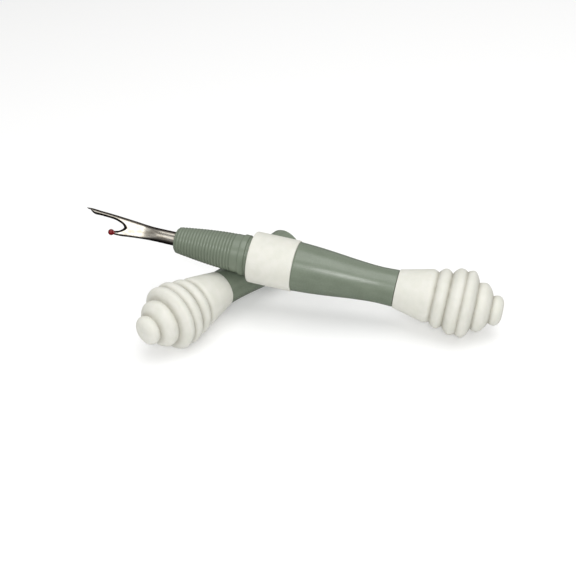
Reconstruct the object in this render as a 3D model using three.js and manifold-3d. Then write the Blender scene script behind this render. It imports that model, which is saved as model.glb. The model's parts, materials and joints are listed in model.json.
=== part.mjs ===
// A seam ripper with its cap off, lying across the cap on a table. Millimetres, +Z up.
//
// The handle and the cap are two turned shapes. Each is drawn standing on its own Y axis,
// with its ribbed rubber end at station 0, and is then laid down as a group. In the handle's
// group +X points to the long tine of the fork, and Z is square to the fork.

import * as THREE from 'three';
import { mergeVertices } from 'three/addons/utils/BufferGeometryUtils.js';
import Module from 'manifold-3d';

const wasm = await Module();
wasm.setup();

// ---- driving dimensions ----

const SIDES = 32; // flats around each turned piece
const SLIP = 0.2; // clearance between pieces that are pressed or moulded together

// Ribbed rubber end: the crests and the grooves between them, from its tip inwards.
const CRESTS = [
  { at: 2.0, radius: 4.55 },
  { at: 6.4, radius: 7.4 },
  { at: 10.5, radius: 10.25 },
  { at: 14.0, radius: 10.15 },
  { at: 18.3, radius: 9.1 },
  { at: 22.2, radius: 8.15 },
];
const GROOVES = [
  { at: 3.5, radius: 4.0 },
  { at: 8.2, radius: 6.9 },
  { at: 12.2, radius: 9.4 },
  { at: 16.4, radius: 7.9 },
  { at: 20.4, radius: 7.45 },
];
const FULLNESS = 0.8; // 1 would make each rib's flanks plain sine waves
const TIP_FLAT = 1.9; // radius of the flat on the very end, which rounds over into the first crest
const TIP_END = 31.8; // where the rubber stops and the plastic shows
const TIP_END_RADIUS = 5.85;
const TIP_BORE = { start: 5.4, radius: 4.0 };
const TIP_SOCKET = { start: 19.8, radius: 5.0 };

// Plastic bodies. The spigot goes into the rubber end.
const SPIGOT = { start: 20.0, outer: 4.8, inner: 4.1 };
const BODY_START = TIP_END + SLIP;
const WALL = 0.9;
const MOUTH = 63.0; // station of the cap's rim
const COLLAR = { start: 63.0, front: 77.0, outer: 7.95, edge: 0.5, lip: 2.6, bore: 7.0 };
const BARREL_END = 74.0;
const BARREL_BORE = { radius: 5.3, start: 50, taperStart: 44 }; // the nose's tail stands in it
const CAP_BORE_START = 36; // where the cap's bore has reached its full width for that station
const BARREL_OUTLINE = [
  [5.65, BODY_START], [5.5, 37], [5.95, 44], [6.6, 50.2], [7.2, 56.4], [7.6, 62.8],
];
const CAP_OUTLINE = [[5.65, BODY_START], [5.75, 38], [6.4, 47], [7.05, 55], [7.65, MOUTH]];

// Nose: a plug in the front of the barrel, with a snap bead and a grip of fine ribs.
const NOSE = { start: 60.0, tip: 102.4, tail: 5.1, neck: 6.0, face: 3.3 };
const BEAD = { start: 78.4, end: 80.2, radius: 6.3, lead: 0.5, tail: 0.3 };
const BAND = { radius: 5.9, end: 82.6 }; // smooth band between the bead and the ribs
const NOSE_CHAMFER = 0.9;
const GRIP = { start: 83.0, pitch: 1.0, ribs: 18, depth: 0.28 };
const NOSE_OUTLINE = [[6.0, 81], [5.85, 85.2], [5.55, 89.5], [5.12, 93.8], [4.6, 98], [4.1, 101]];

// Blade: stations are counted from the nose's tip, and heights from the handle's axis.
const TANG = 13; // length held in the nose
const SLOT = { below: 0.5, beyond: 1.5 }; // how far the shank's slot runs past the tang and the face
const SHANK = { halfWidth: 2.25, thickness: 2.5, tangHalfWidth: 2.0, taperStart: 8.5, taperEnd: 16 };
const SHANK_SHOULDER = { halfWidth: 1.5, at: 13 }; // the roll opening out flat
const FORK = { thickness: 0.9, bevel: 0.15 };
const FLARE = { upper: [2.5, 13], lower: [-2.5, 16] }; // bends where the shank widens into the fork
const LONG_TINE = { tip: 31.2, tipHeight: 3.8, mid: 20, midHeight: 3.4, underTip: 29.2, underHeight: 2.65 };
const CROTCH = { at: 17.45, height: 0.1, upperEnd: 21.8, upperHeight: 2.05 };
const CROTCH_BOW = { upper: [1.2, 17.6], lower: [-1.1, 17.7] }; // bends of the round cutting edge
const SHORT_TINE = { bend: 19.7, end: 20.1, height: -2.2, halfWidth: 0.6 };
const BALL = { at: 21.3, height: -2.2, radius: 1.0 };
const PIN = { radius: 0.32, clearance: 0.18, root: 0.5 }; // end of the short tine, inside the ball

// How the two lie on the table.
const CAP_HEADING = 90; // degrees from +X, of the way the mouth points
const HANDLE_HEADING = 206; // degrees from +X, of the way the blade points
const HANDLE_RISE = 8.45; // degrees, the nose resting on the cap
const FORK_LEAN = 35; // degrees, turn of the fork about the handle's axis
const CROSSING = { onHandle: 85.6, onCap: 36.2 };

// ---- materials ----

const paint = (color, roughness, metalness = 0) =>
  new THREE.MeshStandardMaterial({ color, roughness, metalness });
const plastic = () => paint(0x87927f, 0.38);
const rubber = () => paint(0xeeeee4, 0.62);
const steel = () => paint(0xb9b6ae, 0.22, 1.0);
const redPlastic = () => paint(0x6a1214, 0.25);

// ---- helpers ----

const radians = THREE.MathUtils.degToRad;

// A curve through hand-picked [radius, station] points.
function smooth(points, steps) {
  const curve = new THREE.SplineCurve(points.map(([radius, at]) => new THREE.Vector2(radius, at)));
  return curve.getPoints(steps).map((point) => [point.x, point.y]);
}

// Turns a closed [radius, station] outline about the Y axis.
function turned(outline) {
  const points = outline.map(([radius, at]) => new THREE.Vector2(radius, at));
  if (points[0].x > 0) {
    points.push(points[0].clone());
  }
  return new THREE.LatheGeometry(points, SIDES);
}

function toSolid(geometry) {
  const bare = geometry.clone();
  bare.deleteAttribute('normal');
  bare.deleteAttribute('uv');
  const merged = mergeVertices(bare, 1e-4);
  const vertProperties = merged.attributes.position.array;
  const triVerts = Uint32Array.from(merged.index.array);
  return new wasm.Manifold(new wasm.Mesh({ numProp: 3, vertProperties, triVerts }));
}

function toGeometry(solid) {
  const mesh = solid.getMesh();
  const geometry = new THREE.BufferGeometry();
  geometry.setAttribute('position', new THREE.BufferAttribute(mesh.vertProperties, 3));
  geometry.setIndex(new THREE.BufferAttribute(mesh.triVerts, 1));
  geometry.computeVertexNormals();
  return geometry;
}

function named(name, geometry, material) {
  const mesh = new THREE.Mesh(geometry, material);
  mesh.name = name;
  return mesh;
}

// ---- ribbed rubber end ----

// Each flank rises from its groove as a full quarter wave: a broad round crest, and a tight groove.
function flank(groove, crest, outward) {
  const steps = 3;
  const points = [];
  for (let i = 1; i <= steps; i += 1) {
    const share = outward ? i / steps : 1 - i / steps;
    const rise = Math.sin((share * Math.PI) / 2) ** FULLNESS;
    const along = groove.at + (crest.at - groove.at) * share;
    points.push([groove.radius + (crest.radius - groove.radius) * rise, along]);
  }
  return points;
}

// The end's flat rounds over as a quarter of an ellipse into the first crest.
function button() {
  const steps = 4;
  const crest = CRESTS[0];
  const points = [[0, 0], [TIP_FLAT, 0]];
  for (let i = 1; i <= steps; i += 1) {
    const turn = ((i / steps) * Math.PI) / 2;
    points.push([TIP_FLAT + (crest.radius - TIP_FLAT) * Math.sin(turn), crest.at * (1 - Math.cos(turn))]);
  }
  return points;
}

function eraserTip() {
  const outline = button();
  GROOVES.forEach((groove, i) => {
    outline.push(...flank(groove, CRESTS[i], false));
    outline.push(...flank(groove, CRESTS[i + 1], true));
  });
  outline.push([TIP_END_RADIUS, TIP_END]);
  outline.push([TIP_SOCKET.radius, TIP_END], [TIP_SOCKET.radius, TIP_SOCKET.start]);
  outline.push([TIP_BORE.radius, TIP_SOCKET.start], [TIP_BORE.radius, TIP_BORE.start], [0, TIP_BORE.start]);
  return turned(outline);
}

// ---- plastic bodies ----

function barrel() {
  const seat = COLLAR.bore - SLIP;
  const outline = [[SPIGOT.inner, SPIGOT.start], [SPIGOT.outer, SPIGOT.start], [SPIGOT.outer, BODY_START]];
  outline.push(...smooth(BARREL_OUTLINE, 12));
  outline.push([seat, COLLAR.start - SLIP], [seat, BARREL_END], [BARREL_BORE.radius, BARREL_END]);
  outline.push([BARREL_BORE.radius, BARREL_BORE.start], [SPIGOT.inner, BARREL_BORE.taperStart]);
  return turned(outline);
}

function capShell() {
  const outer = smooth(CAP_OUTLINE, 12);
  const bored = outer.filter(([, at]) => at > CAP_BORE_START);
  const inner = bored.map(([radius, at]) => [radius - WALL, at]).reverse();
  const outline = [[SPIGOT.inner, SPIGOT.start], [SPIGOT.outer, SPIGOT.start], [SPIGOT.outer, BODY_START]];
  outline.push(...outer, ...inner);
  return turned(outline);
}

function collarBand() {
  const { start, front, outer, edge, lip, bore } = COLLAR;
  const lipRadius = BEAD.radius + SLIP / 2;
  return turned([
    [bore, start], [outer - edge, start], [outer, start + edge],
    [outer, front - edge], [outer - edge, front], [lipRadius, front],
    [lipRadius, front - lip], [bore, front - lip],
  ]);
}

function gripRibs() {
  const curve = smooth(NOSE_OUTLINE, 60);
  const radiusAt = (at) => curve.find((point) => point[1] >= at)?.[0] ?? curve.at(-1)[0];
  const points = [];
  for (let i = 0; i < GRIP.ribs; i += 1) {
    const at = GRIP.start + i * GRIP.pitch;
    points.push([radiusAt(at) - GRIP.depth, at], [radiusAt(at), at + GRIP.pitch / 2]);
  }
  return points;
}

function nosePlug() {
  const tailEnd = BARREL_END + SLIP;
  const outline = [[0, NOSE.start], [NOSE.tail, NOSE.start], [NOSE.tail, tailEnd], [NOSE.neck, tailEnd]];
  outline.push([NOSE.neck, BEAD.start], [BEAD.radius, BEAD.start + BEAD.lead], [BEAD.radius, BEAD.end]);
  outline.push([NOSE.neck, BEAD.end + BEAD.tail], [BAND.radius, BAND.end]);
  outline.push(...gripRibs());
  outline.push([NOSE_OUTLINE.at(-1)[0], NOSE.tip - NOSE_CHAMFER], [NOSE.face, NOSE.tip], [0, NOSE.tip]);
  return toGeometry(toSolid(turned(outline)).subtract(toSolid(shankSlot())));
}

function shankSlot() {
  const length = SLOT.below + TANG + SLOT.beyond;
  const slot = new THREE.BoxGeometry(2 * SHANK.halfWidth + SLIP, length, SHANK.thickness + 2 * SLIP);
  return slot.translate(0, NOSE.tip + SLOT.beyond - length / 2, 0);
}

// ---- blade and ball ----

function forkOutline() {
  const { halfWidth, tangHalfWidth, taperStart } = SHANK;
  const long = LONG_TINE;
  const short = SHORT_TINE;
  const shape = new THREE.Shape();
  shape.moveTo(-tangHalfWidth, -TANG);
  shape.lineTo(tangHalfWidth, -TANG);
  shape.lineTo(halfWidth, 0);
  shape.lineTo(halfWidth, taperStart);
  shape.quadraticCurveTo(...FLARE.upper, long.midHeight, long.mid);
  shape.lineTo(long.tipHeight, long.tip);
  shape.lineTo(long.underHeight, long.underTip);
  shape.lineTo(CROTCH.upperHeight, CROTCH.upperEnd);
  shape.quadraticCurveTo(...CROTCH_BOW.upper, CROTCH.height, CROTCH.at);
  shape.quadraticCurveTo(...CROTCH_BOW.lower, short.height + short.halfWidth, short.bend);
  shape.lineTo(short.height + short.halfWidth, short.end);
  shape.lineTo(short.height - short.halfWidth, short.end);
  shape.quadraticCurveTo(...FLARE.lower, -halfWidth, taperStart);
  shape.lineTo(-halfWidth, 0);
  return shape;
}

function forkPlate() {
  const { thickness, bevel } = FORK;
  const depth = thickness - 2 * bevel;
  const plate = new THREE.ExtrudeGeometry(forkOutline(), {
    depth,
    bevelThickness: bevel,
    bevelSize: bevel,
    bevelOffset: -bevel,
    bevelSegments: 1,
    curveSegments: 8,
  });
  return plate.translate(0, 0, -depth / 2);
}

// The shank is the same steel rolled up round, and it flattens out into the fork.
function rolledShank() {
  const { halfWidth, tangHalfWidth, thickness, taperStart, taperEnd } = SHANK;
  const roll = new THREE.LatheGeometry([
    new THREE.Vector2(0, -TANG), new THREE.Vector2(tangHalfWidth, -TANG),
    new THREE.Vector2(halfWidth, 0), new THREE.Vector2(halfWidth, taperStart),
    new THREE.Vector2(SHANK_SHOULDER.halfWidth, SHANK_SHOULDER.at), new THREE.Vector2(0, taperEnd),
  ], 20);
  return roll.scale(1, 1, thickness / (2 * halfWidth));
}

function tinePin(clearance) {
  const radius = PIN.radius + clearance;
  const start = SHORT_TINE.end - PIN.root;
  const end = BALL.at + clearance;
  const pin = new THREE.CylinderGeometry(radius, radius, end - start, 12);
  return pin.translate(BALL.height, (start + end) / 2, 0);
}

function seamBlade() {
  const solid = toSolid(forkPlate()).add(toSolid(rolledShank())).add(toSolid(tinePin(0)));
  return toGeometry(solid).translate(0, NOSE.tip, 0);
}

function safetyBall() {
  const ball = new THREE.SphereGeometry(BALL.radius, 20, 12).translate(BALL.height, BALL.at, 0);
  const solid = toSolid(ball).subtract(toSolid(tinePin(PIN.clearance)));
  return toGeometry(solid).translate(0, NOSE.tip, 0);
}

// ---- the two groups, laid on the table ----

// Lays a group's Y axis along a heading and a rise, turned about itself by lean.
function lay(group, heading, rise, lean) {
  const level = new THREE.Vector3(Math.cos(radians(heading)), Math.sin(radians(heading)), 0);
  const up = new THREE.Vector3(0, 0, 1);
  const along = level.multiplyScalar(Math.cos(radians(rise))).addScaledVector(up, Math.sin(radians(rise)));
  const over = up.clone().addScaledVector(along, -along.z).normalize();
  const side = along.clone().cross(over);
  const toTine = over.multiplyScalar(Math.cos(radians(lean))).addScaledVector(side, Math.sin(radians(lean)));
  const square = toTine.clone().cross(along);
  group.quaternion.setFromRotationMatrix(new THREE.Matrix4().makeBasis(toTine, along, square));
  return along;
}

// Puts station `at` of a laid group over the origin, with station `contact` of radius r on the table.
function rest(group, along, at, contact, radius) {
  const rise = Math.asin(along.z);
  const height = radius * Math.cos(rise) + (at - contact) * Math.sin(rise);
  group.position.copy(along).multiplyScalar(-at);
  group.position.z += height;
}

const handle = new THREE.Group();
handle.add(
  named('handle_eraser_tip', eraserTip(), rubber()),
  named('barrel', barrel(), plastic()),
  named('collar_band', collarBand(), rubber()),
  named('nose_plug', nosePlug(), plastic()),
  named('seam_blade', seamBlade(), steel()),
  named('safety_ball', safetyBall(), redPlastic()),
);
const handleRib = CRESTS[2];
const handleAlong = lay(handle, HANDLE_HEADING, HANDLE_RISE, FORK_LEAN);
rest(handle, handleAlong, CROSSING.onHandle, handleRib.at, handleRib.radius);

// The cap touches the table with its second widest rib and with its rim.
const cap = new THREE.Group();
cap.add(named('cap_shell', capShell(), plastic()), named('cap_eraser_tip', eraserTip(), rubber()));
const capRib = CRESTS[3];
const rim = CAP_OUTLINE.at(-1);
const capRise = THREE.MathUtils.radToDeg(Math.atan2(rim[0] - capRib.radius, rim[1] - capRib.at));
const capAlong = lay(cap, CAP_HEADING, capRise, 0);
rest(cap, capAlong, CROSSING.onCap, capRib.at, capRib.radius);

// The origin is the middle of the box's underside.
const seamRipper = new THREE.Group();
seamRipper.add(handle, cap);
seamRipper.updateMatrixWorld(true);
const box = new THREE.Box3().setFromObject(seamRipper, true);
seamRipper.position.set(-(box.min.x + box.max.x) / 2, -(box.min.y + box.max.y) / 2, -box.min.z);
seamRipper.updateMatrixWorld(true);

export default seamRipper;
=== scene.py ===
"""A seam ripper with its cap off, the handle lying across the cap on a pale floor. Metres, +Z up.

The handle and the cap are drawn in millimetres in a station frame of their own and then placed by the
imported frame: Y runs along the piece from its ribbed rubber end, X points to the fork's long tine, and
Z is square to the fork.
"""

import json
import math

import bpy
import numpy as np
from mathutils import Matrix, Vector

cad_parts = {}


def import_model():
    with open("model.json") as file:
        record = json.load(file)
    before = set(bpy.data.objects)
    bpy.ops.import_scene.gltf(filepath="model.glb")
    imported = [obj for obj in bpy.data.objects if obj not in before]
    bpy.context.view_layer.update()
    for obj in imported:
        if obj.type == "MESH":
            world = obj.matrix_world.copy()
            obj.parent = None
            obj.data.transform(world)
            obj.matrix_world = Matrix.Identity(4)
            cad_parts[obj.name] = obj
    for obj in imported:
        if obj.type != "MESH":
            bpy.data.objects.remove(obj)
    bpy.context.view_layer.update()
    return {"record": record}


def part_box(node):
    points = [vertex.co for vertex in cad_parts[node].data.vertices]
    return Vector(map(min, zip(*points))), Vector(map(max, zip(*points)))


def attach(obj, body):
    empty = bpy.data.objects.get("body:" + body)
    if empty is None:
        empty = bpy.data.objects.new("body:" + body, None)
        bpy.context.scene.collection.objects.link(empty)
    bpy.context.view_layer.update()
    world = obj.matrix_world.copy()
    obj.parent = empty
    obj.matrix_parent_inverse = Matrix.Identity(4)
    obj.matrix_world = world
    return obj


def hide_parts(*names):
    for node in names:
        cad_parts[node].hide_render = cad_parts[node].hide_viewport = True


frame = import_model()

MM = 0.001
SIDES = 192  # flats around each turned piece

# ---- sizes, in millimetres, as in the CAD model ----

CRESTS = [(2.0, 4.5), (6.4, 7.35), (10.5, 10.11), (14.0, 10.08), (18.3, 9.05), (22.2, 8.1)]
GROOVES = [(3.5, 4.0), (8.2, 6.9), (12.2, 9.35), (16.4, 7.9), (20.4, 7.45)]
TIP_FLAT = 1.85
FULLNESS = 0.8  # of the ribs' flanks; 1 would make them plain sine waves
TIP_END, TIP_END_RADIUS = 31.8, 5.85
TIP_DIMPLE = 0.2  # depth of the mould gate's mark in the middle of the end
TIP_BORE_START, TIP_BORE_RADIUS = 5.6, 4.1
SOCKET_START, SOCKET_RADIUS = 20.0, 4.9  # where the plastic's spigot goes in
SPIGOT_START, SPIGOT_RADIUS, SPIGOT_BORE, SPIGOT_END = 20.3, 4.8, 4.2, 31.9
SHOULDER_RADIUS = 5.4  # of the face that meets the rubber
BARREL = [(5.63, 32.0), (5.5, 37.0), (5.95, 44.0), (6.6, 50.2), (7.2, 56.4), (7.6, 62.85)]
CAP = [(5.63, 32.0), (5.75, 38.0), (6.4, 47.0), (7.05, 55.0), (7.62, 62.7)]
CAP_MOUTH, WALL = 63.0, 0.9
BARREL_END, BARREL_BORE, SEAT_START, SEAT_RADIUS = 73.9, 5.3, 63.1, 6.85
BORE_TAPER = (44.0, 50.0)  # where the barrel's bore narrows to the spigot's
RIM_RADIUS, RIM_BORE = 7.65, 6.85
SNAP_RING_AT, SNAP_RING_DEPTH, SNAP_RING_WIDTH = 60.0, 0.12, 0.4
COLLAR_START, COLLAR_FRONT, COLLAR_RADIUS = 63.0, 77.0, 7.93
COLLAR_BORE, COLLAR_LIP, LIP_LENGTH = 7.0, 6.45, 2.6
NOSE_BASE = 102.4  # the blade's distances are counted from here
NOSE_TIP = 101.9
NOSE = [(5.95, 80.6), (5.85, 85.2), (5.55, 89.5), (5.12, 93.8), (4.6, 98.0), (4.2, 101.0)]
GRIP_START, GRIP_PITCH, GRIP_RIBS, GRIP_DEPTH = 83.0, 1.0, 18, 0.26
RIB_FULLNESS = 0.7  # of the fine ribs' crests
TAIL_START, TAIL_RADIUS, TAIL_END = 60.2, 5.1, 74.1  # the nose's tail, inside the barrel
NECK_RADIUS, BEAD_RADIUS = 6.0, 6.3
SLOT_HALF_WIDTH, SLOT_HALF_HEIGHT = 2.38, 1.36
BALL_AT, BALL_HEIGHT, BALL_RADIUS = 21.3, -2.2, 0.98
TANG = 12.5  # length of shank inside the nose
SHANK_HALF, FORK_HALF = 1.25, 0.46  # half thickness of the rolled shank and of the flat fork
SHANK_ROUND, FORK_ROUND = 2.25, 0.75  # how far in from their edges they are rounded over
OPEN_OUT = (4.5, 11.5)  # where the rolled shank opens out flat, from the nose
SHARP_ANGLE = math.radians(50)


# ---- frames ----

MOUNTS = {mount["name"]: mount for mount in frame["record"]["mounts"]}


def station_frame(end_mount, hint):
    """Matrix from a group's own millimetres to metres. X points as nearly along `hint` as it can."""
    origin = Vector(MOUNTS[end_mount]["pos_m"])
    along = -Vector(MOUNTS[end_mount]["axis"]).normalized()
    side = (hint - along * hint.dot(along)).normalized()
    square = side.cross(along)
    turn = Matrix((side, along, square)).transposed().to_4x4()
    return Matrix.Translation(origin) @ turn @ Matrix.Scale(MM, 4)


def middle(node):
    low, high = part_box(node)
    return (low + high) / 2


def away_from_ball():
    """Direction square to the handle's axis, from the ball's side to the long tine's side."""
    end = MOUNTS["handle_end"]
    out = middle("safety_ball") - Vector(end["pos_m"])
    axis = Vector(end["axis"]).normalized()
    return -(out - axis * out.dot(axis))


HANDLE = station_frame("handle_end", away_from_ball())
CAP_FRAME = station_frame("cap_end", Vector((0, 0, 1)))


# ---- curves ----


def curve(points, count):
    """A smooth line through (a, b) points, evenly spaced in b, as an array of (a, b)."""
    knots = np.array(points, float)
    at = knots[:, 1]
    slopes = np.gradient(knots[:, 0], at)
    where = np.linspace(at[0], at[-1], count)
    return np.column_stack([hermite(where, at, knots[:, 0], slopes), where])


def hermite(where, at, values, slopes):
    i = np.clip(np.searchsorted(at, where) - 1, 0, len(at) - 2)
    span = at[i + 1] - at[i]
    t = (where - at[i]) / span
    rise = values[i] * (1 + 2 * t) * (1 - t) ** 2 + values[i + 1] * t * t * (3 - 2 * t)
    return rise + span * (slopes[i] * t * (1 - t) ** 2 - slopes[i + 1] * t * t * (1 - t))


def rounded(points, radius=0.25, steps=5):
    """The outline with each corner cut back by up to `radius` and replaced by a small arc."""
    knots = [np.array(p, float) for p in points]
    out = [knots[0]]
    for before, corner, after in zip(knots, knots[1:], knots[2:]):
        back, on = before - corner, after - corner
        cut = min(radius, np.linalg.norm(back) * 0.45, np.linalg.norm(on) * 0.45)
        start = corner + back / np.linalg.norm(back) * cut
        end = corner + on / np.linalg.norm(on) * cut
        for t in np.linspace(0, 1, steps):
            out.append(start * (1 - t) ** 2 + corner * 2 * t * (1 - t) + end * t * t)
    out.append(knots[-1])
    return [tuple(p) for p in out]


def smoothstep(low, high, value):
    t = np.clip((value - low) / (high - low), 0, 1)
    return t * t * (3 - 2 * t)


# ---- meshes ----


def make_object(name, local, faces, placing, material, attributes=None):
    """A smooth mesh from station-frame millimetres, with those millimetres kept for the material."""
    points = np.asarray(local, float)
    matrix = np.array(placing)
    world = points @ matrix[:3, :3].T + matrix[:3, 3]
    mesh = bpy.data.meshes.new(name)
    mesh.from_pydata(world.tolist(), [], faces)
    layer = mesh.attributes.new("station_mm", "FLOAT_VECTOR", "POINT")
    layer.data.foreach_set("vector", points.astype(np.float32).ravel())
    for key, values in (attributes or {}).items():
        extra = mesh.attributes.new(key, "FLOAT", "POINT")
        extra.data.foreach_set("value", np.asarray(values, np.float32))
    mesh.validate()
    mesh.shade_smooth()
    mesh.set_sharp_from_angle(angle=SHARP_ANGLE)
    mesh.materials.append(material)
    obj = bpy.data.objects.new(name, mesh)
    bpy.context.scene.collection.objects.link(obj)
    return obj


def turned(outline, closed, centre=0.0, parting=0.0):
    """Points and faces of an outline of (radius, station), turned about the Y axis.

    A closed outline makes a hollow ring; an open one starts and ends on the axis. `centre` shifts the
    axis along X, and `parting` is the height of the two fine lines where the mould's halves met."""
    rings, points, faces = [], [], []
    angles = np.arange(SIDES) * (2 * math.pi / SIDES)
    line = parting * np.isclose(angles % math.pi, 0)
    for radius, at in outline:
        if radius < 1e-6:
            rings.append([len(points)])
            points.append((centre, at, 0.0))
            continue
        rings.append(range(len(points), len(points) + SIDES))
        reach = radius + line
        points += zip(centre + reach * np.cos(angles), np.full(SIDES, at), reach * np.sin(angles))
    pairs = list(zip(rings, rings[1:])) + ([(rings[-1], rings[0])] if closed else [])
    for low, high in pairs:
        for i in range(SIDES):
            j = (i + 1) % SIDES
            ring = [low[i % len(low)], high[i % len(high)], high[j % len(high)], low[j % len(low)]]
            faces.append(tuple(dict.fromkeys(ring)))
    return np.array(points), faces


def finish_piece(obj, body, node):
    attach(obj, body)
    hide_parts(node)
    return obj


# ---- material helpers ----


class Shader:
    """A node material with one Principled shader, and short calls to add nodes to it."""

    def __init__(self, name):
        self.material = bpy.data.materials.new(name)
        self.material.use_nodes = True
        self.tree = self.material.node_tree
        self.principled = self.tree.nodes["Principled BSDF"]
        self.mm = self.node("ShaderNodeAttribute", attribute_name="station_mm").outputs["Vector"]

    def node(self, kind, inputs=None, **settings):
        made = self.tree.nodes.new(kind)
        for key, value in settings.items():
            setattr(made, key, value)
        for key, value in (inputs or {}).items():
            self.put(made.inputs[key], value)
        return made

    def put(self, socket, value):
        if isinstance(value, bpy.types.NodeSocket):
            self.tree.links.new(value, socket)
        else:
            socket.default_value = value

    def set(self, **values):
        for key, value in values.items():
            self.put(self.principled.inputs[key.replace("_", " ")], value)

    def stretched(self, scale):
        return self.node("ShaderNodeVectorMath", {0: self.mm, 1: scale}, operation="MULTIPLY").outputs[0]

    def noise(self, scale, detail=3.0, vector=None, rough=0.5):
        inputs = {"Vector": vector or self.mm, "Scale": scale, "Detail": detail, "Roughness": rough}
        return self.node("ShaderNodeTexNoise", inputs).outputs["Fac"]

    def remap(self, value, low, high, to_low, to_high):
        inputs = {"Value": value, "From Min": low, "From Max": high, "To Min": to_low, "To Max": to_high}
        return self.node("ShaderNodeMapRange", inputs).outputs["Result"]

    def attribute(self, name):
        return self.node("ShaderNodeAttribute", attribute_name=name).outputs["Fac"]

    def mix(self, share, first, second):
        made = self.node("ShaderNodeMix", data_type="RGBA")
        for index, value in ((0, share), (6, first), (7, second)):
            self.put(made.inputs[index], value)
        return made.outputs[2]

    def math(self, operation, first, second):
        return self.node("ShaderNodeMath", {0: first, 1: second}, operation=operation).outputs[0]

    def bump(self, height, distance, strength=1.0, normal=None):
        inputs = {"Height": height, "Distance": distance * MM, "Strength": strength}
        if normal is not None:
            inputs["Normal"] = normal
        return self.node("ShaderNodeBump", inputs).outputs["Normal"]


def colour(red, green, blue):
    """Linear colour from 0 to 255 display values."""
    def linear(value):
        v = value / 255
        return v / 12.92 if v <= 0.04045 else ((v + 0.055) / 1.055) ** 2.4
    return (linear(red), linear(green), linear(blue), 1.0)


# ---- materials ----


def grey_green_plastic():
    """Satin injection-moulded plastic, with faint flow marks along it and fine handling scratches."""
    s = Shader("grey_green_plastic")
    flow = s.noise(0.55, 4.0, s.stretched((1.0, 0.25, 1.0)))
    cloud = s.remap(flow, 0.3, 0.7, 0.0, 1.0)
    s.set(Base_Color=s.mix(cloud, colour(109, 119, 103), colour(118, 128, 112)))
    fine = s.noise(9.0, 5.0, s.stretched((1.0, 0.6, 1.0)))
    scratches = s.noise(3.0, 6.0, s.stretched((0.3, 6.0, 0.3)), 0.7)
    scuffed = s.remap(scratches, 0.55, 0.8, 0.0, 0.1)
    s.set(Roughness=s.math("ADD", s.remap(fine, 0.3, 0.7, 0.23, 0.31), scuffed))
    grain = s.bump(fine, 0.012)
    s.set(Normal=s.bump(scratches, 0.006, 0.6, grain))
    s.set(IOR=1.5)
    return s.material


def white_rubber():
    """Soft matt rubber: a fine grain, slight unevenness, and a little grime and painted shade in the
    grooves.
    """
    s = Shader("white_rubber")
    cloud = s.remap(s.noise(0.35, 4.0), 0.35, 0.65, 0.0, 1.0)
    clean = s.mix(cloud, colour(213, 213, 203), colour(219, 218, 210))
    grime_and_groove_shade = s.math("MULTIPLY", s.attribute("groove"), s.remap(s.noise(0.3, 3.0), 0.35, 0.65, 0.45, 0.7))
    # painted shade: near the grooves the rubber is darkened towards a dull buff, partly grime and partly the
    # shade that falls in the grooves
    s.set(Base_Color=s.mix(grime_and_groove_shade, clean, colour(168, 165, 152)))
    grain = s.noise(14.0, 4.0)
    s.set(Roughness=s.remap(grain, 0.3, 0.7, 0.5, 0.66))
    s.set(Normal=s.bump(grain, 0.015))
    s.set(Subsurface_Weight=0.12, Subsurface_Radius=(1.0, 0.9, 0.75), Subsurface_Scale=0.0012, IOR=1.45)
    return s.material


def blade_steel():
    """Polished steel with fine lengthwise polishing lines, with painted dark reflection along its edges,
    over the long tine and on the shank by the nose, and near black over the ground bevel.
    """
    s = Shader("blade_steel")
    lines = s.noise(2.0, 3.0, s.stretched((1.4, 0.08, 1.4)), 0.5)
    mottle = s.remap(s.noise(0.9, 5.0, s.stretched((1.0, 0.4, 1.0))), 0.4, 0.65, 0.0, 1.0)
    polished = s.mix(mottle, colour(214, 209, 199), colour(178, 171, 158))
    # painted dark reflection: the edge attribute darkens the steel towards near black along its rounded
    # edges, over the long tine and on the shank near the nose
    steel_with_painted_shade = s.mix(s.attribute("edge"), polished, colour(52, 47, 43))
    s.set(Base_Color=s.mix(s.attribute("ground"), steel_with_painted_shade, colour(30, 28, 27)))
    s.set(Roughness=s.remap(lines, 0.3, 0.7, 0.16, 0.27))
    s.set(Normal=s.bump(lines, 0.002))
    s.set(Metallic=1.0)
    return s.material


def red_ball():
    """Dark red dipped plastic, glossy and slightly uneven."""
    s = Shader("red_plastic")
    shade = s.remap(s.noise(1.2, 3.0), 0.35, 0.65, 0.0, 1.0)
    s.set(Base_Color=s.mix(shade, colour(98, 8, 13), colour(116, 12, 18)))
    s.set(Roughness=s.remap(s.noise(3.0, 3.0), 0.3, 0.7, 0.12, 0.22))
    s.set(Normal=s.bump(s.noise(2.0, 2.0), 0.02))
    s.set(Specular_IOR_Level=0.4)
    return s.material


# ---- ribbed rubber ends ----


def wave(groove, crest, rising, steps=14):
    """Half a rib: broad and round at its crest, and turning in a tight curve at the groove."""
    out = []
    for i in range(1, steps + 1):
        share = i / steps if rising else 1 - i / steps
        rise = math.sin(share * math.pi / 2) ** FULLNESS * smoothstep(-0.16, 0.12, share)
        out.append((groove[1] + (crest[1] - groove[1]) * rise, groove[0] + (crest[0] - groove[0]) * share))
    return out


def dome():
    """The flat end, with a moulding gate's shallow dimple in its middle, rounding into the first crest."""
    radius = CRESTS[0][1]
    out = [(0, TIP_DIMPLE), (0.45, 0.18), (0.6, 0.1), (0.75, 0.06), (TIP_FLAT - 0.5, 0.05)]
    for turn in np.linspace(0, math.pi / 2, 16):
        rise = CRESTS[0][0] * (1 - math.cos(turn))
        out.append((TIP_FLAT + (radius - TIP_FLAT) * math.sin(turn), 0.05 + 0.975 * rise))
    return out


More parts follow.
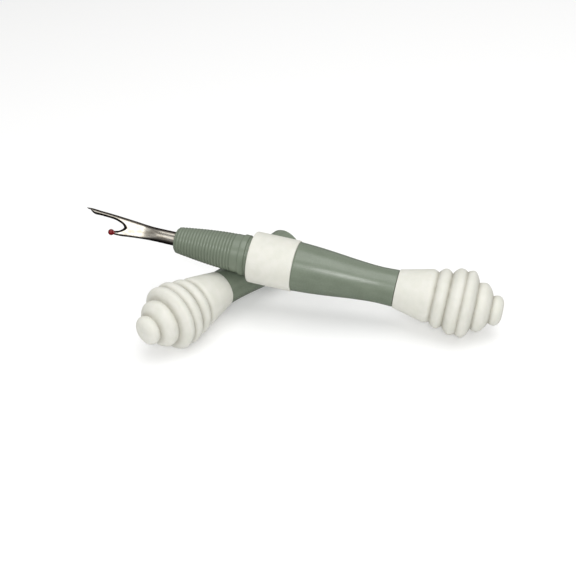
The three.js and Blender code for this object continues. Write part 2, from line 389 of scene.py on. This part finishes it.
def eraser_outline():
    out = dome()
    for i, groove in enumerate(GROOVES):
        out += wave(groove, CRESTS[i], rising=False)
        out += wave(groove, CRESTS[i + 1], rising=True)
    socket = (SOCKET_RADIUS, TIP_END)
    out += rounded([CRESTS[-1][::-1], (TIP_END_RADIUS, TIP_END), socket], 0.3)[1:]
    bore = [socket, (SOCKET_RADIUS, SOCKET_START), (TIP_BORE_RADIUS, SOCKET_START)]
    bore += [(TIP_BORE_RADIUS, TIP_BORE_START), (0, TIP_BORE_START)]
    return out + rounded(bore, 0.2)[1:]


def eraser_tip(name, placing, body, node):
    points, faces = turned(eraser_outline(), closed=False, parting=0.02)
    at = points[:, 1]
    reach = 0.55  # how far the grime and painted shade spread from the bottom of a groove
    groove_grime_and_shade = sum(np.exp(-(((at - groove[0]) / reach) ** 2)) for groove in GROOVES)
    obj = make_object(name, points, faces, placing, RUBBER, {"groove": np.clip(groove_grime_and_shade, 0, 1)})
    return finish_piece(obj, body, node)


# ---- plastic bodies ----


def spigot(body_start):
    """The end that goes into the rubber, and the shoulder behind it, up to the body's first point."""
    outline = [(SPIGOT_BORE, SPIGOT_START), (SPIGOT_RADIUS, SPIGOT_START), (SPIGOT_RADIUS, SPIGOT_END)]
    return rounded([*outline, (SHOULDER_RADIUS, SPIGOT_END), body_start], 0.12)


def barrel():
    outer = [tuple(p) for p in curve(BARREL, 60)]
    tail = spigot(outer[0])
    seat = [(7.35, SEAT_START), (SEAT_RADIUS, SEAT_START), (SEAT_RADIUS, BARREL_END)]
    bore = [(BARREL_BORE, BARREL_END), (BARREL_BORE, BORE_TAPER[1]), (SPIGOT_BORE, BORE_TAPER[0])]
    front = rounded([outer[-1], *seat, *bore], 0.12)
    points, faces = turned(tail[:-1] + outer + front[1:], closed=True)
    obj = make_object("barrel_body", points, faces, HANDLE, PLASTIC)
    return finish_piece(obj, "handle", "barrel")


def snap_ring(at):
    """Height of the low ring inside the cap's mouth, which the nose's bead snaps past."""
    return SNAP_RING_DEPTH * math.exp(-(((at - SNAP_RING_AT) / SNAP_RING_WIDTH) ** 2))


def cap_shell():
    outer = [tuple(p) for p in curve(CAP, 60)]
    inner = [(radius - WALL, at) for radius, at in reversed(outer)]
    tail = spigot(outer[0])
    rim = rounded([outer[-1], (RIM_RADIUS, CAP_MOUTH), (RIM_BORE, CAP_MOUTH), inner[0]], 0.3, 7)
    bore = [(radius - snap_ring(at), at) for radius, at in inner]
    points, faces = turned(tail[:-1] + outer + rim[1:-1] + bore, closed=True)
    obj = make_object("cap_shell_body", points, faces, CAP_FRAME, PLASTIC)
    return finish_piece(obj, "cap", "cap_shell")


def collar_band():
    start, front, radius = COLLAR_START, COLLAR_FRONT, COLLAR_RADIUS
    inside = (COLLAR_BORE, start + 5)  # a point along the bore, where the outline closes
    outline = [inside, (COLLAR_BORE, start), (radius, start), (radius + 0.02, front), (COLLAR_LIP, front)]
    outline += [(COLLAR_LIP, front - LIP_LENGTH), (COLLAR_BORE, front - LIP_LENGTH), inside]
    points, faces = turned(rounded(outline, 0.55, 8)[:-1], closed=True, parting=0.02)
    obj = make_object("collar_sleeve", points, faces, HANDLE, RUBBER, {"groove": np.zeros(len(points))})
    return finish_piece(obj, "handle", "collar_band")


# ---- nose ----


def grip_ribs(steps=10):
    """Fine ribs: each is a round crest, and the grooves between them are narrow."""
    count = GRIP_RIBS * steps
    envelope = curve(NOSE, 400)
    out = []
    for i in range(count + 1):
        at = GRIP_START + GRIP_PITCH * i / steps
        crest = abs(math.sin(math.pi * i / steps)) ** RIB_FULLNESS
        radius = np.interp(at, envelope[:, 1], envelope[:, 0])
        out.append((radius - GRIP_DEPTH * (1 - crest), at))
    return out


def nose_outline():
    tail = [(0, TAIL_START), (TAIL_RADIUS, TAIL_START), (TAIL_RADIUS, TAIL_END), (NECK_RADIUS, TAIL_END)]
    thin_rib = [(NECK_RADIUS, 77.3), (5.9, 77.5), (6.02, 77.75), (5.9, 78.0)]
    bead = [(5.95, 78.3), (BEAD_RADIUS, 78.5), (BEAD_RADIUS + 0.03, 80.1), (5.97, 80.5)]
    band = [(5.95, 82.7), (5.75, GRIP_START)]
    face = [(4.1, 101.1), (4.12, 101.25), (3.4, NOSE_TIP), (0, NOSE_TIP)]
    return rounded(tail + thin_rib + bead + band, 0.12, 4)[:-1] + grip_ribs() + rounded(face, 0.15, 4)


def oval_slot():
    """The cutter for the hole that the shank stands in: an oval prism a little larger than the shank."""
    around = np.linspace(0, 2 * math.pi, 64, endpoint=False)
    below, beyond = 0.4, 1.0  # past the shank's end, and past the nose's face
    ends = (NOSE_BASE - TANG - below, NOSE_TIP + beyond)
    oval = [(SLOT_HALF_WIDTH * math.cos(a), SLOT_HALF_HEIGHT * math.sin(a)) for a in around]
    points = [(x, y, z) for y in ends for x, z in oval]
    count = len(around)
    faces = [(i, i + count, (i + 1) % count + count, (i + 1) % count) for i in range(count)]
    faces += [tuple(range(count)), tuple(reversed(range(count, 2 * count)))]
    return make_object("slot_cutter", points, faces, HANDLE, PLASTIC)


def nose_plug():
    points, faces = turned(nose_outline(), closed=False)
    obj = make_object("nose_grip", points, faces, HANDLE, PLASTIC)
    cutter = oval_slot()
    cut = obj.modifiers.new("slot", "BOOLEAN")
    cut.operation, cut.solver, cut.object = "DIFFERENCE", "EXACT", cutter
    bpy.context.view_layer.update()
    shaped = bpy.data.meshes.new_from_object(obj.evaluated_get(bpy.context.evaluated_depsgraph_get()))
    obj.modifiers.clear()
    obj.data = shaped
    shaped.set_sharp_from_angle(angle=SHARP_ANGLE)
    bpy.data.objects.remove(cutter)
    return finish_piece(obj, "handle", "nose_plug")


# ---- blade ----

# Edges of the fork, as (height, distance from the nose's tip).
TOP_EDGE = [
    (2.0, -TANG), (2.3, 0.0), (2.42, 9.0), (2.92, 14.5),
    (3.42, 20.5), (3.72, 25.5), (3.92, 30.2), (3.82, 31.1),
]
BOTTOM_EDGE = [(-2.0, -TANG), (-2.1, 0.0), (-2.12, 9.5), (-2.5, 15.0), (-2.8, 18.5), (-2.75, 20.6)]
UPPER_FORK = [(0.62, 17.7), (1.1, 18.3), (1.48, 19.3), (1.88, 20.6), (2.08, 22.2), (2.3, 25.5), (2.62, 28.6)]
UPPER_TIP = [(2.95, 29.15), (3.36, 29.6), (3.5, 30.5), (3.82, 31.1)]
LOWER_FORK = [(-0.3, 17.65), (-0.85, 18.3), (-1.22, 18.9), (-1.42, 19.6), (-1.6, 20.6)]
FORK_ROOT = (0.1, 17.45)


def edge_height(edge, at):
    knots = np.array(edge, float)
    return hermite(at, knots[:, 1], knots[:, 0], np.gradient(knots[:, 0], knots[:, 1]))


def fork_stations(end):
    """Distances beyond the fork's root, closer together where its edge turns back on itself."""
    span = end - FORK_ROOT[1]
    return FORK_ROOT[1] + span * np.linspace(0, 1, 110) ** 1.9


def root_edge(edge, at):
    """Height of the fork's inner edge, which leaves its root as a round arc."""
    knots = np.array([FORK_ROOT, *edge], float)
    eased = np.sqrt(np.maximum(at - FORK_ROOT[1], 0))
    places = np.sqrt(knots[:, 1] - FORK_ROOT[1])
    return hermite(eased, places, knots[:, 0], np.gradient(knots[:, 0], places))


def segment_distance(points, line):
    """Shortest distance from each point to a polyline."""
    start, end = line[:-1], line[1:]
    step = end - start
    length = np.maximum((step**2).sum(1), 1e-12)
    best = np.full(len(points), np.inf)
    for a, d, l in zip(start, step, length):
        t = np.clip(((points - a) @ d) / l, 0, 1)
        best = np.minimum(best, ((points - a - t[:, None] * d) ** 2).sum(1))
    return np.sqrt(best)


def blade_lines():
    """Stations, and the fork's edges there, for its upper and lower halves."""
    shank = np.linspace(-TANG, FORK_ROOT[1], 150)[:-1]
    upper, lower = fork_stations(TOP_EDGE[-1][1]), fork_stations(BOTTOM_EDGE[-1][1])
    flat = np.full(len(shank), FORK_ROOT[0])
    return {
        "upper": (np.r_[shank, upper], np.r_[flat, root_edge(UPPER_FORK + UPPER_TIP, upper)], TOP_EDGE),
        "lower": (np.r_[shank, lower], np.r_[flat, root_edge(LOWER_FORK, lower)], BOTTOM_EDGE),
    }


def blade_section(points, share, outline, fork):
    """The steel at (height, station) points: half its thickness, how dark it is painted along its edges,
    over the tine and on the shank (painted dark reflection), and how ground.

    `share` is how far each point lies from the fork's inner edge to the outer one."""
    at = points[:, 1]
    open_out = smoothstep(*OPEN_OUT, at)
    half = SHANK_HALF + (FORK_HALF - SHANK_HALF) * open_out
    round_off = SHANK_ROUND + (FORK_ROUND - SHANK_ROUND) * open_out
    depth = segment_distance(points, outline)
    inside = np.minimum(depth / round_off, 1)
    rise = np.sqrt(np.maximum(1 - (1 - inside) ** 2, 0))
    root = np.exp(-(((points[:, 0] - FORK_ROOT[0]) / 0.9) ** 2)) * (1 - smoothstep(17.6, 18.6, at))
    near = segment_distance(points, fork) / (0.62 + 0.6 * root)
    bevel = np.clip(0.08 + near, 0, 1)
    upper = points[:, 0] > FORK_ROOT[0]
    fork_band = np.where(upper, 0.8, 0.5)
    band = 1.05 + (fork_band - 1.05) * open_out
    # painted dark reflection in a band along the outline, wider on the shank than on the fork
    edge = 1 - smoothstep(band * 0.45, band * 1.35, depth)
    tine = smoothstep(18.8, 21.5, at) * upper
    fold = tine * (1 - smoothstep(0.04, 0.13, np.abs(share - 0.55)))
    under_tine = tine * (1 - smoothstep(0.42, 0.56, share))
    shank = 0.42 * (1 - smoothstep(6.5, 10.5, at))
    # painted dark reflection: the edge band, the long tine except a bright line along its ridge, the tine's
    # lower half, and the shank near the nose
    painted_dark = np.maximum.reduce([edge * (1 - 0.8 * fold), 0.6 * tine * (1 - fold), under_tine, shank])
    ground = 1 - smoothstep(0.85, 1.15, near)
    return half * rise * bevel, painted_dark, ground


def blade():
    rows = 22
    across = (1 - np.cos(np.linspace(0, math.pi, rows + 1))) / 2
    lines = blade_lines()
    (upper_at, upper_in, _), (lower_at, lower_in, _) = lines.values()
    upper_fork = np.column_stack([upper_in, upper_at])[upper_at >= FORK_ROOT[1]]
    lower_fork = np.column_stack([lower_in, lower_at])[lower_at >= FORK_ROOT[1]]
    fork = np.vstack([lower_fork[::-1], upper_fork])
    ground_edge = fork[fork[:, 1] < 20.8]
    top, bottom = (np.column_stack([edge_height(edge, at), at]) for at, _, edge in lines.values())
    outline = np.vstack([bottom[0], top, upper_fork[::-1], lower_fork, bottom[::-1]])
    points, faces, shades = [], [], []
    for index, (at, inner, edge) in enumerate(lines.values()):
        outer = edge_height(edge, at)
        heights = inner[:, None] + (outer - inner)[:, None] * across
        flat = np.column_stack([heights.ravel(), np.repeat(at, rows + 1)])
        share = np.tile(across, len(at))
        thick, painted_dark, ground = blade_section(flat, share, outline, ground_edge)
        for side in (1, -1):
            z = side * thick if side > 0 else rolled_seam(flat, thick) - thick
            faces += grid_faces(heights.shape, len(points), flip=(index == 0) == (side > 0))
            points += np.column_stack([flat, z]).tolist()
            shades += np.column_stack([painted_dark, ground]).tolist()
    obj = make_object("forked_blade", *merged(points, faces, shades, (0, NOSE_BASE, 0)))
    return finish_piece(obj, "handle", "seam_blade")


def rolled_seam(flat, thick):
    """The shank is rolled from flat steel, so its back has a lengthwise seam."""
    open_out = 1 - smoothstep(6.0, 11.0, flat[:, 1])
    groove = np.exp(-(((flat[:, 0] - FORK_ROOT[0]) / 0.16) ** 2))
    return np.minimum(0.45 * groove * open_out, thick * 0.8)


def grid_faces(shape, first, flip):
    rows, columns = shape
    out = []
    for i in range(rows - 1):
        for j in range(columns - 1):
            a = first + i * columns + j
            quad = (a, a + 1, a + columns + 1, a + columns)
            out.append(quad[::-1] if flip else quad)
    return out


def merged(points, faces, shades, shift):
    """Joins the patches where they meet, drops faces with no area, and moves the mesh by `shift`."""
    array = np.round(np.array(points), 5)
    unique, first, index = np.unique(array, axis=0, return_index=True, return_inverse=True)
    index = index.ravel()
    kept = []
    for face in faces:
        corners = tuple(dict.fromkeys(int(index[i]) for i in face))
        if len(corners) > 2:
            kept.append(corners)
    kept_shades = np.array(shades)[first]
    # edge holds the painted dark reflection of the steel, and ground the ground bevel
    attributes = {"edge": kept_shades[:, 0], "ground": kept_shades[:, 1]}
    return unique + np.array(shift), kept, HANDLE, STEEL, attributes


def safety_ball():
    """A drop of plastic on the short tine's end, drawn out a little along the tine."""
    radius, at = BALL_RADIUS, NOSE_BASE + BALL_AT
    out = [(0.0, at - 1.35), (0.5, at - 1.3)]
    for turn in np.linspace(math.radians(38), math.pi, 40):
        out.append((max(radius * math.sin(turn), 0.0), at - radius * math.cos(turn)))
    out[-1] = (0.0, at + radius)
    points, faces = turned(out, closed=False, centre=BALL_HEIGHT)
    obj = make_object("red_safety_ball", points, faces, HANDLE, RED)
    return finish_piece(obj, "handle", "safety_ball")


# ---- floor, light and camera ----


def floor():
    size = 3.0  # metres from the middle to each side
    mesh = bpy.data.meshes.new("floor")
    corners = [(-size, -size, 0), (size, -size, 0), (size, size, 0), (-size, size, 0)]
    mesh.from_pydata(corners, [], [(0, 1, 2, 3)])
    s = Shader("floor_paper")
    s.set(Base_Color=(0.72, 0.72, 0.72, 1.0), Roughness=0.9, Specular_IOR_Level=0.1)
    s.set(Emission_Color=(1.0, 1.0, 1.0, 1.0), Emission_Strength=0.27)
    mesh.materials.append(s.material)
    obj = bpy.data.objects.new("floor", mesh)
    obj.visible_glossy = False  # so that the steel and the plastic reflect the dark below the table
    bpy.context.scene.collection.objects.link(obj)


def world():
    """A pale studio all round, with nothing but dark below the edge of the table."""
    made = bpy.data.worlds.new("studio")
    made.use_nodes = True
    tree = made.node_tree
    place = tree.nodes.new("ShaderNodeTexCoord").outputs["Generated"]
    height = tree.nodes.new("ShaderNodeSeparateXYZ")
    tree.links.new(place, height.inputs[0])
    ramp = tree.nodes.new("ShaderNodeMapRange")
    for name, value in (("From Min", -0.02), ("From Max", 0.2), ("To Min", 0.12), ("To Max", 0.52)):
        ramp.inputs[name].default_value = value
    tree.links.new(height.outputs["Z"], ramp.inputs["Value"])
    background = tree.nodes["Background"]
    background.inputs["Color"].default_value = (1.0, 1.0, 0.99, 1.0)
    tree.links.new(ramp.outputs["Result"], background.inputs["Strength"])
    bpy.context.scene.world = made


def towards(azimuth, elevation):
    """Unit vector from the object out to a viewer. Azimuth 0 looks along +Y, and 90 along -X."""
    a, e = math.radians(azimuth), math.radians(elevation)
    return Vector((math.sin(a) * math.cos(e), -math.cos(a) * math.cos(e), math.sin(e)))


def softbox(name, azimuth, elevation, distance, size, power, aim):
    """A square light that faces `aim`."""
    back = towards(azimuth, elevation)
    light = bpy.data.lights.new(name, "AREA")
    light.shape, light.size, light.energy = "SQUARE", size, power
    obj = bpy.data.objects.new(name, light)
    obj.location = aim + back * distance
    obj.rotation_euler = (-back).to_track_quat("-Z", "Y").to_euler()
    bpy.context.scene.collection.objects.link(obj)


def camera(azimuth, elevation, roll, distance, lens, aim):
    back = towards(azimuth, elevation)
    data = bpy.data.cameras.new("camera")
    data.lens, data.sensor_width, data.clip_start = lens, 36.0, 0.01
    obj = bpy.data.objects.new("camera", data)
    obj.location = aim + back * distance
    facing = (-back).to_track_quat("-Z", "Y").to_matrix() @ Matrix.Rotation(math.radians(roll), 3, "Z")
    obj.rotation_euler = facing.to_euler()
    bpy.context.scene.collection.objects.link(obj)
    bpy.context.scene.camera = obj


PLASTIC = grey_green_plastic()
RUBBER = white_rubber()
STEEL = blade_steel()
RED = red_ball()

eraser_tip("handle_eraser", HANDLE, "handle", "handle_eraser_tip")
barrel()
collar_band()
nose_plug()
blade()
safety_ball()
cap_shell()
eraser_tip("cap_eraser", CAP_FRAME, "cap", "cap_eraser_tip")

floor()
world()
aim = middle("collar_band") + Vector((0.00992, -0.00506, -0.00319))
softbox("key", 44, 38, 0.7, 0.18, 1.45, aim)
softbox("top", 110, 80, 0.9, 0.8, 4.5, aim)
softbox("blade_light", 7, 35.6, 0.7, 0.25, 0.4, middle("seam_blade"))
camera(44.31, 33.73, -4.6, 0.2651, 55.34, aim)

scene = bpy.context.scene
scene.view_settings.view_transform = "Standard"
scene.view_settings.look = "None"
